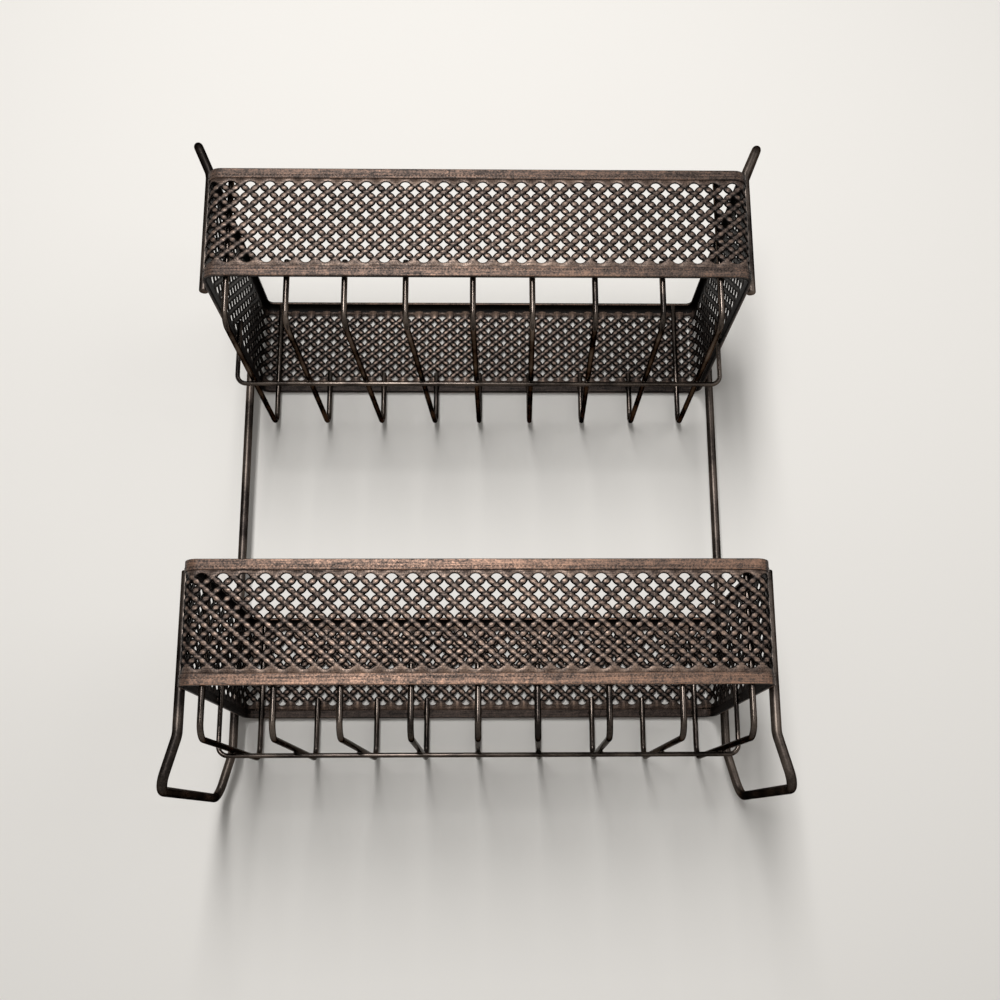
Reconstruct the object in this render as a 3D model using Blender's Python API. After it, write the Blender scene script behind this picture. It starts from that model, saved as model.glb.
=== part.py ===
"""Two-tier bath caddy: two lattice-walled wire baskets carried by two bent side frames.

X runs along the baskets, -Y is the front and Z is up. The origin is on the floor, in the
middle of the caddy. Every length is in metres.
"""

import math

import bmesh
import bpy
from mathutils import Matrix, Vector

# The walls: one pressed strip goes round each basket, and each wall is one side of it
basket_width = 0.330
basket_depth = 0.165
wall_height = 0.071
corner_radius = 0.009
sheet_thickness = 0.0012
rim_thickness = 0.0026
rim_proud = 0.0007
top_rim_height = 0.0078
lip_depth = 0.0052
lip_height = 0.0016
bottom_rim_height = 0.0082

# The diamond openings of the walls, coarser than the pressed lattice of the real strip
opening_pitch = 0.0222
strut_width = 0.0052
opening_rows = 3
cut_overrun = 0.001

# Where the baskets sit
lower_wall_bottom = 0.0585
tier_spacing = 0.2443

# The wires under each basket
rod_count = 9
rod_diameter = 0.0036
rod_side_inset = 0.015
lower_rod_hang = 0.0284
upper_rod_hang = 0.0272
rod_bend_radius = 0.009
rod_end_rise = 0.0135
outer_rod_top_drop = 0.0019
cross_wire_diameter = 0.0030
cross_wire_bend_radius = 0.006
cross_wire_end_rise = 0.0140

# Where each rod is welded, as shares of the rod spacing off its even place
lower_rod_front_shares = (-0.02, 0.02, -0.01, 0.02, 0.0, -0.13, -0.08, 0.0, 0.025)
lower_rod_back_shares = (-0.065, -0.03, 0.075, 0.0, -0.04, 0.075, 0.07, 0.015, 0.0)
upper_rod_front_shares = (0.0, -0.045, -0.125, -0.155, -0.085, -0.14, -0.14, -0.06, -0.13)
upper_rod_back_shares = (-0.01, 0.01, 0.08, 0.12, -0.025, -0.04, -0.015, -0.05, -0.095)

# The side frames: one thick wire each, from the front leg round the foot, post and handle
frame_diameter = 0.0058
front_leg_inset = 0.0228
rear_post_inset = 0.0161
foot_flare = 0.0085
foot_flare_height = 0.0308
handle_flare = 0.0108
handle_flare_height = 0.0243
handle_height = 0.0354
flare_bend_radius = 0.020
loop_bend_radius = 0.010
leg_top_drop = 0.0012
handle_end_rise = 0.0018

# Room left between pieces that are welded together
weld_gap = 0.0003

# How finely round things are divided, and how much of a run its bends may take
wire_sides = 8
bend_steps = 5
corner_steps = 4
bend_run_share = 0.48


def clear_scene():
    for thing in list(bpy.data.objects):
        bpy.data.objects.remove(thing)


def make_material(name, colour, metallic, roughness):
    material = bpy.data.materials.new(name)
    material.use_nodes = True
    shader = material.node_tree.nodes["Principled BSDF"]
    shader.inputs["Base Color"].default_value = (*colour, 1.0)
    shader.inputs["Metallic"].default_value = metallic
    shader.inputs["Roughness"].default_value = roughness
    return material


def make_empty(name, location):
    empty = bpy.data.objects.new(name, None)
    empty.location = location
    bpy.context.collection.objects.link(empty)
    return empty


def make_mesh(name, bm, smooth):
    bmesh.ops.recalc_face_normals(bm, faces=bm.faces)
    mesh = bpy.data.meshes.new(name)
    bm.to_mesh(mesh)
    bm.free()
    if smooth:
        mesh.shade_smooth()
        mesh.set_sharp_from_angle(angle=math.radians(50))
    return mesh


def place_object(name, mesh, material, parent=None, matrix=None):
    thing = bpy.data.objects.new(name, mesh)
    if not mesh.materials:
        mesh.materials.append(material)
    bpy.context.collection.objects.link(thing)
    thing.parent = parent
    if matrix is not None:
        thing.matrix_local = matrix
    return thing


def bend(before, corner, after, radius):
    """The arc that replaces a corner, as points, each with the way the wire runs there."""
    way_in = (corner - before).normalized()
    way_out = (after - corner).normalized()
    turn = way_in.angle(way_out)
    shorter = min((corner - before).length, (after - corner).length)
    fitted = min(radius, bend_run_share * shorter / math.tan(turn / 2))
    toward = (way_out - way_in * way_out.dot(way_in)).normalized()
    start = corner - way_in * fitted * math.tan(turn / 2)
    arc = []
    for step in range(bend_steps + 1):
        angle = turn * step / bend_steps
        across = toward * (1 - math.cos(angle)) * fitted
        along = way_in * math.sin(angle) * fitted
        heading = way_in * math.cos(angle) + toward * math.sin(angle)
        arc.append((start + across + along, heading))
    return arc


def wire_route(corners, radii):
    """The run of a bent wire through its corners, one bend radius for each inner corner."""
    first, second = corners[0], corners[1]
    route = [(first, (second - first).normalized())]
    for place, radius in enumerate(radii, start=1):
        route += bend(corners[place - 1], corners[place], corners[place + 1], radius)
    last, previous = corners[-1], corners[-2]
    route.append((last, (last - previous).normalized()))
    return route


def wire_mesh(name, route, diameter, side_axis):
    """A round wire along its route, with one flat facing each way across the side axis."""
    ring_radius = diameter / 2 / math.cos(math.pi / wire_sides)
    bm = bmesh.new()
    rings = []
    for point, heading in route:
        side = (side_axis - heading * side_axis.dot(heading)).normalized()
        up = heading.cross(side)
        ring = []
        for corner in range(wire_sides):
            angle = 2 * math.pi * (corner + 0.5) / wire_sides
            offset = side * math.cos(angle) + up * math.sin(angle)
            ring.append(bm.verts.new(point + offset * ring_radius))
        rings.append(ring)
    for near, far in zip(rings, rings[1:]):
        for corner in range(wire_sides):
            following = (corner + 1) % wire_sides
            bm.faces.new((near[corner], near[following], far[following], far[corner]))
    bm.faces.new(rings[0])
    bm.faces.new(rings[-1])
    return make_mesh(name, bm, smooth=True)


def wall_section():
    """The wall's outline across its thickness: depth inward from the rim's face, and height."""
    sheet_front = rim_proud
    sheet_back = rim_proud + sheet_thickness
    lattice_bottom = bottom_rim_height
    lattice_top = wall_height - top_rim_height
    lip_bottom = wall_height - lip_height
    return (
        (0, 0),
        (0, lattice_bottom),
        (sheet_front, lattice_bottom),
        (sheet_front, lattice_top),
        (0, lattice_top),
        (0, wall_height),
        (lip_depth, wall_height),
        (lip_depth, lip_bottom),
        (rim_thickness, lip_bottom),
        (rim_thickness, lattice_top),
        (sheet_back, lattice_top),
        (sheet_back, lattice_bottom),
        (rim_thickness, lattice_bottom),
        (rim_thickness, 0),
    )


def wall_stations(length):
    """Where the wall runs, from half a corner through the flat to half a corner."""
    seam_angle = weld_gap / 2 / (corner_radius - lip_depth)
    reach = math.pi / 4 - seam_angle
    flat = length / 2 - corner_radius
    stations = []
    for step in range(corner_steps + 1):
        angle = reach * (1 - step / corner_steps)
        inward = Vector((math.sin(angle), math.cos(angle), 0))
        centre = Vector((-flat, corner_radius, 0))
        stations.append((centre - inward * corner_radius, inward))
    for step in range(corner_steps + 1):
        angle = reach * step / corner_steps
        inward = Vector((-math.sin(angle), math.cos(angle), 0))
        centre = Vector((flat, corner_radius, 0))
        stations.append((centre - inward * corner_radius, inward))
    return stations


def wall_mesh(name, length):
    bm = bmesh.new()
    rings = []
    for point, inward in wall_stations(length):
        ring = []
        for depth, height in wall_section():
            ring.append(bm.verts.new(point + inward * depth + Vector((0, 0, height))))
        rings.append(ring)
    count = len(rings[0])
    for near, far in zip(rings, rings[1:]):
        for corner in range(count):
            following = (corner + 1) % count
            bm.faces.new((near[corner], near[following], far[following], far[corner]))
    bm.faces.new(rings[0])
    bm.faces.new(rings[-1])
    return make_mesh(name, bm, smooth=False)


def add_diamond(bm, centre_x, centre_z, half_width, half_height):
    """One diamond prism that goes right through the wall's thickness."""
    corners = (
        (centre_x - half_width, centre_z),
        (centre_x, centre_z - half_height),
        (centre_x + half_width, centre_z),
        (centre_x, centre_z + half_height),
    )
    near = [bm.verts.new((x, -cut_overrun, z)) for x, z in corners]
    far = [bm.verts.new((x, rim_thickness + cut_overrun, z)) for x, z in corners]
    bm.faces.new(near)
    bm.faces.new(far)
    for corner in range(len(corners)):
        following = (corner + 1) % len(corners)
        bm.faces.new((near[corner], near[following], far[following], far[corner]))


def openings_mesh(name, length):
    """The diamond openings of one wall: full columns, and columns one opening shorter."""
    flat = length - 2 * corner_radius
    columns = max(1, int(flat / opening_pitch))
    column_step = flat / columns / 2
    lattice_height = wall_height - top_rim_height - bottom_rim_height
    row_step = lattice_height / opening_rows
    slope = math.hypot(column_step, row_step / 2)
    half_width = column_step - strut_width / 2 * slope / (row_step / 2)
    half_height = row_step / 2 - strut_width / 2 * slope / column_step
    bm = bmesh.new()
    for place in range(2 * columns - 1):
        centre_x = (place + 1) * column_step - flat / 2
        rows = opening_rows - place % 2
        for row in range(rows):
            centre_z = bottom_rim_height + lattice_height / 2 + (row - (rows - 1) / 2) * row_step
            add_diamond(bm, centre_x, centre_z, half_width, half_height)
    return make_mesh(name, bm, smooth=False)


def add_wall(name, mesh, cutter_mesh, material, parent, matrix):
    wall = place_object(name, mesh, material, parent, matrix)
    cutter = place_object(name + "_openings", cutter_mesh, material, parent, matrix)
    cutter.hide_render = True
    cutter.display_type = "WIRE"
    cut = wall.modifiers.new("openings", "BOOLEAN")
    cut.operation = "DIFFERENCE"
    cut.solver = "EXACT"
    cut.object = cutter


def add_walls(tier, parent, meshes, material):
    half_width = basket_width / 2
    half_depth = basket_depth / 2
    sides = (
        ("front", "long", 0, Vector((0, -half_depth, 0))),
        ("right", "short", 1, Vector((half_width, 0, 0))),
        ("back", "long", 2, Vector((0, half_depth, 0))),
        ("left", "short", 3, Vector((-half_width, 0, 0))),
    )
    for side, kind, quarter_turns, place in sides:
        turn = Matrix.Rotation(quarter_turns * math.pi / 2, 4, "Z")
        matrix = Matrix.Translation(place) @ turn
        wall, cutter = meshes[kind]
        add_wall(f"{tier}_{side}_wall", wall, cutter, material, parent, matrix)


def add_rods(tier, parent, hang, shares, material):
    """The rods hang under the walls from front to back, and the outermost reach the top rim."""
    front_shares, back_shares = shares
    spacing = (basket_width - 2 * rod_side_inset) / (rod_count - 1)
    reach = basket_depth / 2 - rim_thickness - weld_gap - rod_diameter / 2
    radii = (rod_bend_radius, rod_bend_radius)
    for place in range(rod_count):
        even_x = (place - (rod_count - 1) / 2) * spacing
        front_x = even_x + front_shares[place % len(front_shares)] * spacing
        back_x = even_x + back_shares[place % len(back_shares)] * spacing
        outermost = place in (0, rod_count - 1)
        top = wall_height - outer_rod_top_drop if outermost else rod_end_rise
        corners = (
            Vector((front_x, -reach, top)),
            Vector((front_x, -reach, -hang)),
            Vector((back_x, reach, -hang)),
            Vector((back_x, reach, top)),
        )
        name = f"{tier}_rod_{place + 1}"
        mesh = wire_mesh(name, wire_route(corners, radii), rod_diameter, Vector((1, 0, 0)))
        place_object(name, mesh, material, parent)


def add_cross_wire(tier, parent, hang, material):
    """One wire runs under the rods, and its ends climb the insides of the side walls."""
    radius = cross_wire_diameter / 2
    reach = basket_width / 2 - rim_thickness - weld_gap - radius
    height = -hang - rod_diameter / 2 - weld_gap - radius
    corners = (
        Vector((-reach, 0, cross_wire_end_rise)),
        Vector((-reach, 0, height)),
        Vector((reach, 0, height)),
        Vector((reach, 0, cross_wire_end_rise)),
    )
    radii = (cross_wire_bend_radius, cross_wire_bend_radius)
    name = f"{tier}_cross_wire"
    mesh = wire_mesh(name, wire_route(corners, radii), cross_wire_diameter, Vector((0, 1, 0)))
    place_object(name, mesh, material, parent)


def add_side_frame(name, side, material):
    """One wire: front leg, foot, rear post and handle, welded to the side walls' outsides."""
    radius = frame_diameter / 2
    beside_wall = side * (basket_width / 2 + weld_gap + radius)
    foot_out = beside_wall + side * foot_flare
    handle_out = beside_wall + side * handle_flare
    front = front_leg_inset - basket_depth / 2
    rear = basket_depth / 2 - rear_post_inset
    foot_z = radius
    foot_bend_z = foot_z + foot_flare_height
    leg_top = lower_wall_bottom + wall_height - leg_top_drop
    upper_wall_bottom = lower_wall_bottom + tier_spacing
    handle_z = upper_wall_bottom + wall_height + handle_height
    handle_bend_z = handle_z - handle_flare_height
    corners = (
        Vector((beside_wall, front, leg_top)),
        Vector((beside_wall, front, foot_bend_z)),
        Vector((foot_out, front, foot_z)),
        Vector((foot_out, rear, foot_z)),
        Vector((beside_wall, rear, foot_bend_z)),
        Vector((beside_wall, rear, handle_bend_z)),
        Vector((handle_out, rear, handle_z)),
        Vector((handle_out, front, handle_z)),
        Vector((beside_wall, front, handle_bend_z)),
        Vector((beside_wall, front, upper_wall_bottom + handle_end_rise)),
    )
    flare, loop = flare_bend_radius, loop_bend_radius
    radii = (flare, loop, loop, flare, flare, loop, loop, flare)
    mesh = wire_mesh(name, wire_route(corners, radii), frame_diameter, Vector((1, 0, 0)))
    place_object(name, mesh, material)


def build():
    clear_scene()
    frame_bronze = make_material("frame_bronze", (0.030, 0.022, 0.019), 0.85, 0.38)
    rod_bronze = make_material("rod_bronze", (0.024, 0.018, 0.016), 0.85, 0.36)
    wall_bronze = make_material("wall_bronze", (0.095, 0.066, 0.055), 0.80, 0.48)
    wall_meshes = {
        "long": (
            wall_mesh("long_wall", basket_width),
            openings_mesh("long_openings", basket_width),
        ),
        "short": (
            wall_mesh("short_wall", basket_depth),
            openings_mesh("short_openings", basket_depth),
        ),
    }
    lower_shares = (lower_rod_front_shares, lower_rod_back_shares)
    upper_shares = (upper_rod_front_shares, upper_rod_back_shares)
    tiers = (
        ("lower", lower_wall_bottom, lower_rod_hang, lower_shares),
        ("upper", lower_wall_bottom + tier_spacing, upper_rod_hang, upper_shares),
    )
    for tier, height, hang, shares in tiers:
        basket = make_empty(f"{tier}_basket", (0, 0, height))
        add_walls(tier, basket, wall_meshes, wall_bronze)
        add_rods(tier, basket, hang, shares, rod_bronze)
        add_cross_wire(tier, basket, hang, rod_bronze)
    add_side_frame("side_frame_left", -1, frame_bronze)
    add_side_frame("side_frame_right", 1, frame_bronze)
    bpy.context.view_layer.update()


build()
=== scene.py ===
import math

import bmesh
import bpy
from bpy.props import FloatProperty, FloatVectorProperty, IntProperty, PointerProperty
from bpy.types import Operator, Panel, PropertyGroup
from mathutils import Matrix, Vector


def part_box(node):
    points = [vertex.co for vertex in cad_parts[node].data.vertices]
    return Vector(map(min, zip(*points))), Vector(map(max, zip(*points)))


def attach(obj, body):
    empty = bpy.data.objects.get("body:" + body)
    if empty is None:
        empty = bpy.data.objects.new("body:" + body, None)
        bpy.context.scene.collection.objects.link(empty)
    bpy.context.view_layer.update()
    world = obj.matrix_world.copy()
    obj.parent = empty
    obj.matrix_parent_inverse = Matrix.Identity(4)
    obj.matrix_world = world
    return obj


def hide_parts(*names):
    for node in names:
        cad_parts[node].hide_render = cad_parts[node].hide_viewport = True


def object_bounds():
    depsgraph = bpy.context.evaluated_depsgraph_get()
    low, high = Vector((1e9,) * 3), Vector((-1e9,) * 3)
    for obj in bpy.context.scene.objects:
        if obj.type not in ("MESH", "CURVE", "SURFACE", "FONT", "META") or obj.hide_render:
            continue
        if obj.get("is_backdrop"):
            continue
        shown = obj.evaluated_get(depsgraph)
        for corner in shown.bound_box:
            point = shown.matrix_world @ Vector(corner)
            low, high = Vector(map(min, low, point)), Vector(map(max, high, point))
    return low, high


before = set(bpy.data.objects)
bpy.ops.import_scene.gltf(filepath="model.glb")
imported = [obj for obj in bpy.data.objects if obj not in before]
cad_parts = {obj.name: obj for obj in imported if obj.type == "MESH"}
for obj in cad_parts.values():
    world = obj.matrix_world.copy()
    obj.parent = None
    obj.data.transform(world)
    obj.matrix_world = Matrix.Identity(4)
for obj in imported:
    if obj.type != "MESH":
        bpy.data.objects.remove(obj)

bl_info = {
    "name": "Bath caddy finish",
    "version": (1, 0, 0),
    "blender": (4, 5, 0),
    "location": "View3D > Sidebar > Bath caddy",
    "description": "Builds the lattice strips, round wires and bronze finish of a two-tier bath caddy",
    "category": "Object",
}

MM = 0.001
TIERS = ("lower", "upper")
SIDES = ("front", "right", "back", "left")
ROD_COUNT = sum(name.startswith("lower_rod_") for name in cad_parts)
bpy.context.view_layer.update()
# vertices nearer to each other than this are one vertex
MERGE_DISTANCE = 0.02 * MM


def linear_colour(code):
    """A colour written as sRGB hex, turned by the sRGB curve into the linear values that sockets hold."""
    shares = [int(code[place:place + 2], 16) / 255 for place in (1, 3, 5)]
    return tuple(
        share / 12.92 if share <= 0.04045 else ((share + 0.055) / 1.055) ** 2.4 for share in shares
    )


def length(name, description, default):
    """A setting in metres."""
    return FloatProperty(name=name, description=description, default=default, unit="LENGTH", precision=5)


def colour(name, description, code):
    """A setting that holds a colour."""
    return FloatVectorProperty(
        name=name, description=description, default=linear_colour(code), subtype="COLOR", min=0, max=1
    )


class CaddySizes(PropertyGroup):
    """Sizes of the strips, rims and wires, and how rubbed the strips and rims are."""

    columns: IntProperty(
        name="Lattice columns", description="Columns of openings round one basket", default=83, min=12
    )
    rows: IntProperty(
        name="Lattice rows", description="Full openings in every second column", default=5, min=1
    )
    row_pitch: length("Row pitch", "Height from one opening to the next", 9.91 * MM)
    first_row: length("First row", "Height of the lowest row above the wall's bottom", 11.06 * MM)
    opening_width: length("Opening width", "Width of one opening from tip to tip", 6.2 * MM)
    opening_height: length("Opening height", "Height of one opening from tip to tip", 6.3 * MM)
    strut_bulge: length("Strut bulge", "How far the struts bulge into the openings", 0.42 * MM)
    strap_crease: FloatProperty(
        name="Strap crease", description="How deep the running straps' creases are", default=0.5
    )
    cross_crease: FloatProperty(
        name="Cross crease", description="How deep the other straps' creases are", default=0.8
    )
    nub_rise: length("Nub rise", "How far the lattice's nubs and pads stand out", 0.26 * MM)
    edge_drop: length("Edge drop", "How far the lattice falls off towards an opening", 0.32 * MM)
    fan_rise: length("Fan rise", "How far the end openings reach past their row", 2.1 * MM)
    sheet_front: length("Sheet front", "How far the sheet lies behind the rims' faces", 0.75 * MM)
    sheet: length("Sheet", "Thickness of the pressed sheet", 0.7 * MM)
    upper_shift: length("Upper shift", "Where the upper lattice starts along the front", 2.65 * MM)
    lower_shift: length("Lower shift", "Where the lower lattice starts along the front", -1.30 * MM)
    upper_slip: length("Upper slip", "How far the upper lattice runs ahead along the back", -2.66 * MM)
    lower_slip: length("Lower slip", "How far the lower lattice runs ahead along the back", 5.83 * MM)
    # painted shade: the lattice is painted darker toward the basket's ends, where the light falls off
    strip_end_shade: FloatProperty(
        name="Strip dulling", description="How much less the lattice is rubbed at its ends", default=0.22
    )
    # painted shade: the rims are painted darker toward the basket's ends, where the light falls off
    rim_end_shade: FloatProperty(
        name="Rim dulling",
        description="How much less the top rims are rubbed at their ends, and bottom rims half as much",
        default=0.18,
    )
    upper_rub: FloatProperty(name="Upper rub", description="How rubbed the upper lattice is", default=0.95)
    lower_rub: FloatProperty(name="Lower rub", description="How rubbed the lower lattice is", default=1.02)
    # painted light: each basket's rims are painted lighter or darker as the light falls on them, the upper
    # ones darker
    upper_rim_painted_light: FloatProperty(
        name="Upper rim rub", description="How rubbed the upper basket's rims are", default=0.81
    )
    lower_rim_painted_light: FloatProperty(
        name="Lower rim rub", description="How rubbed the lower basket's rims are", default=1.03
    )
    corner: length("Corner radius", "Radius of a basket's corners at the rims' faces", 9.0 * MM)
    rim: length("Rim height", "Height of the folded rims' faces", 6.4 * MM)
    rim_round: length("Rim rounding", "Rounding of the folded rims' edges", 0.45 * MM)
    lip: length("Lip", "How far the top rims reach inward", 5.2 * MM)
    lip_edge: length("Lip edge", "Height of the top rims' inner edge", 1.5 * MM)
    lip_fold: length("Lip fold", "How far below the top the lip's underside meets the strip", 2.7 * MM)
    band: length("Band", "Height of the bottom rims' band on the inside", 5.3 * MM)
    rim_thickness: length("Rim thickness", "Thickness of the bottom rims", 2.6 * MM)
    pip_pitch: length("Pip pitch", "Distance from pip to pip in the line pressed along the rims", 2.2 * MM)
    pip_length: length("Pip length", "Length of a pip along the rim", 1.3 * MM)
    pip_height: length("Pip height", "Height of a pip", 0.9 * MM)
    pip_rise: length("Pip rise", "How far a pip stands out", 0.28 * MM)
    pip_inset: length("Pip inset", "How far the line of pips lies from the rim's free edge", 4.4 * MM)
    frame_flare: length("Frame flare", "How far above the foot bar each leg starts to flare", 30.8 * MM)
    handle_flare: length("Handle flare", "How far below its bar each handle starts to flare", 24.3 * MM)
    flare_bend: length("Flare bend", "Bend radius where the frames flare", 20.0 * MM)
    loop_bend: length("Loop bend", "Bend radius at the ends of the foot and handle bars", 10.0 * MM)
    rod_bend: length("Rod bend", "Bend radius of the rods", 9.0 * MM)
    cross_bend: length("Cross wire bend", "Bend radius of the cross wires", 6.0 * MM)
    frame_wire: length("Frame wire", "Diameter of the side frames' wire", 5.8 * MM)
    rod_wire: length("Rod wire", "Diameter of the rods' wire", 3.6 * MM)
    cross_wire: length("Cross wire", "Diameter of the wire under the rods", 3.0 * MM)
    front_drop: length("Front end drop", "How much lower the rods end at the front", 1.2 * MM)
    weld: length("Weld", "Half the length of a weld's bead", 1.5 * MM)


class CaddyColours(PropertyGroup):
    """Colours of the bronze finish and of the stage."""

    oil: colour("Oil", "The dark oil left in the recesses", "#0C0908")
    bronze: colour("Bronze", "The bronze coat itself", "#4A3D36")
    copper: colour("Copper", "The rims' coat where it is rubbed through to copper", "#98745E")
    # the pads' greyer colour is partly burnished bronze and partly a painted sheen that stands in for their
    # highlights
    burnished_and_sheen: colour("Burnished", "The lattice's coat where its raised pads are rubbed bright", "#927A6A")
    wire: colour("Wire", "What the wires' dark coat mirrors", "#2C2826")
    wire_rub: colour("Rubbed wire", "What the wires' coat mirrors where hands have rubbed it", "#746961")
    wire_edge: colour("Wire edge", "What is left of the coat's shine along a wire's edges", "#7A736C")
    floor: colour("Floor", "The pale floor and backdrop", "#E9E6E1")
    sky: colour("Surround", "The pale surround", "#EFEDEA")


def add_node(tree, kind, inputs=None, **settings):
    """Adds a node. An input is given as a value, or as the socket that it is linked from."""
    node = tree.nodes.new(kind)
    for name, value in settings.items():
        setattr(node, name, value)
    for name, value in (inputs or {}).items():
        if isinstance(value, bpy.types.NodeSocket):
            tree.links.new(value, node.inputs[name])
        else:
            node.inputs[name].default_value = value
    return node


def set_stops(ramp, stops):
    """Gives a colour ramp its stops, each a place and a colour."""
    elements = ramp.color_ramp.elements
    while len(elements) < len(stops):
        elements.new(1)
    for element, (place, shade) in zip(elements, stops):
        element.position = place
        element.color = (*shade, 1)


def new_material(name):
    """A material and its empty node tree, or no tree if the material is there already."""
    material = bpy.data.materials.get(name)
    if material is not None:
        return material, None
    material = bpy.data.materials.new(name)
    material.use_nodes = True
    material.node_tree.nodes.clear()
    return material, material.node_tree


# each coat with its rubbed colour: rims show copper, and the lattice's pads a greyer, burnished bronze
# whose greyness is also a painted sheen, standing in for the white highlights on the glossy pads
STRIP_COATS = {
    "lattice": ("oil_rubbed_bronze_on_pressed_lattice", "burnished_and_sheen"),
    "rims": ("oil_rubbed_bronze_on_folded_rims", "copper"),
}
# where the strips are rubbed more or less: the real size of each noise, and how far it swings the wear
PATCH_SIZE, PATCH_SWING = 90 * MM, 0.5
MOTTLE_SIZE, MOTTLE_SWING = 4 * MM, 0.8
STREAK_LENGTH, STREAK_HEIGHT, STREAK_SWING = 25 * MM, 0.8 * MM, 1.2
GRIT_SIZE, GRIT_SWING = 0.9 * MM, 1.3
# the wear up to which the oil is whole, that at which the bronze is bare, and that of a rubbed place
OILED_WEAR, BARE_WEAR, RUBBED_WEAR = 0.20, 0.48, 1.0
OILED_ROUGHNESS, RUBBED_ROUGHNESS = 0.60, 0.36
RUBBED_METALLIC, RUBBED_SPECULAR = 0.4, 0.5
GRIT_BUMP, GRIT_DEPTH = 0.3, 0.10 * MM


def strip_bronze(part):
    """Oil-rubbed bronze on pressed steel: near black in the recesses, paler and smoother where rubbed."""
    name, rubbed = STRIP_COATS[part]
    material, tree = new_material(name)
    if tree is None:
        return material
    colours = bpy.context.scene.caddy_colours
    place = add_node(tree, "ShaderNodeTexCoord").outputs["Object"]
    # this attribute holds the wear, and also painted highlight and painted shade
    rub_and_shade = add_node(tree, "ShaderNodeAttribute", attribute_name="rub_and_shade").outputs["Fac"]
    patch = add_node(tree, "ShaderNodeTexNoise", {"Vector": place, "Scale": 1 / PATCH_SIZE, "Detail": 1.0})
    mottle = add_node(tree, "ShaderNodeTexNoise", {
        "Vector": place, "Scale": 1 / MOTTLE_SIZE, "Detail": 3.0,
    })
    # the streaks run along the strip, so their noise is stretched sideways
    streak_shape = (1 / STREAK_LENGTH, 1 / STREAK_LENGTH, 1 / STREAK_HEIGHT)
    along = add_node(tree, "ShaderNodeMapping", {"Vector": place, "Scale": streak_shape})
    streak = add_node(tree, "ShaderNodeTexNoise", {
        "Vector": along.outputs[0], "Scale": 1.0, "Detail": 2.0,
    })
    grit = add_node(tree, "ShaderNodeTexNoise", {"Vector": place, "Scale": 1 / GRIT_SIZE, "Detail": 1.0})
    # each noise is centred on a half, so together they swing about nought
    swings = ((patch, PATCH_SWING), (mottle, MOTTLE_SWING), (streak, STREAK_SWING), (grit, GRIT_SWING))
    swing = -sum(weight for _, weight in swings) / 2
    for noise, weight in swings:
        terms = {0: noise.outputs["Fac"], 1: weight, 2: swing}
        swing = add_node(tree, "ShaderNodeMath", terms, operation="MULTIPLY_ADD").outputs[0]
    terms = {0: swing, 1: rub_and_shade, 2: rub_and_shade}
    wear = add_node(tree, "ShaderNodeMath", terms, operation="MULTIPLY_ADD").outputs[0]
    ramp = add_node(tree, "ShaderNodeValToRGB", {"Fac": wear})
    set_stops(ramp, (
        (OILED_WEAR, colours.oil),
        (BARE_WEAR, colours.bronze),
        (RUBBED_WEAR, getattr(colours, rubbed)),
    ))
    rough = add_node(tree, "ShaderNodeMapRange", {
        "Value": wear, "To Min": OILED_ROUGHNESS, "To Max": RUBBED_ROUGHNESS,
    })
    # the thick oil hides the metal and is dull itself
    metal = add_node(tree, "ShaderNodeMapRange", {"Value": wear, "To Min": 0.0, "To Max": RUBBED_METALLIC})
    film = add_node(tree, "ShaderNodeMapRange", {"Value": wear, "To Min": 0.0, "To Max": RUBBED_SPECULAR})
    bump = add_node(tree, "ShaderNodeBump", {
        "Height": grit.outputs["Fac"], "Strength": GRIT_BUMP, "Distance": GRIT_DEPTH,
    })
    shader = add_node(tree, "ShaderNodeBsdfPrincipled", {
        "Base Color": ramp.outputs["Color"],
        "Roughness": rough.outputs["Result"],
        "Metallic": metal.outputs["Result"],
        "Specular IOR Level": film.outputs["Result"],
        "Normal": bump.outputs["Normal"],
    })
    add_node(tree, "ShaderNodeOutputMaterial", {"Surface": shader.outputs["BSDF"]})
    return material


# each coat with its least and greatest roughness: the thick wire's is duller, so its highlight is softer
WIRE_COATS = {
    "thin": ("dark_bronze_coat_on_thin_wire", 0.15, 0.25),
    "thick": ("dark_bronze_coat_on_thick_wire", 0.32, 0.42),
}
RUBBED_PATCH_SIZE = 25 * MM
# the coat's real grain is finer, and is drawn as coarse as it needs to show
GRAIN_SIZE, GRAIN_SHARE = 0.9 * MM, 0.35
# the noise up to which the coat is whole, and that at which it is rubbed
WHOLE_COAT, RUBBED_COAT = 0.52, 0.95
GRAIN_BUMP, GRAIN_DEPTH = 0.15, 0.05 * MM


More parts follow.
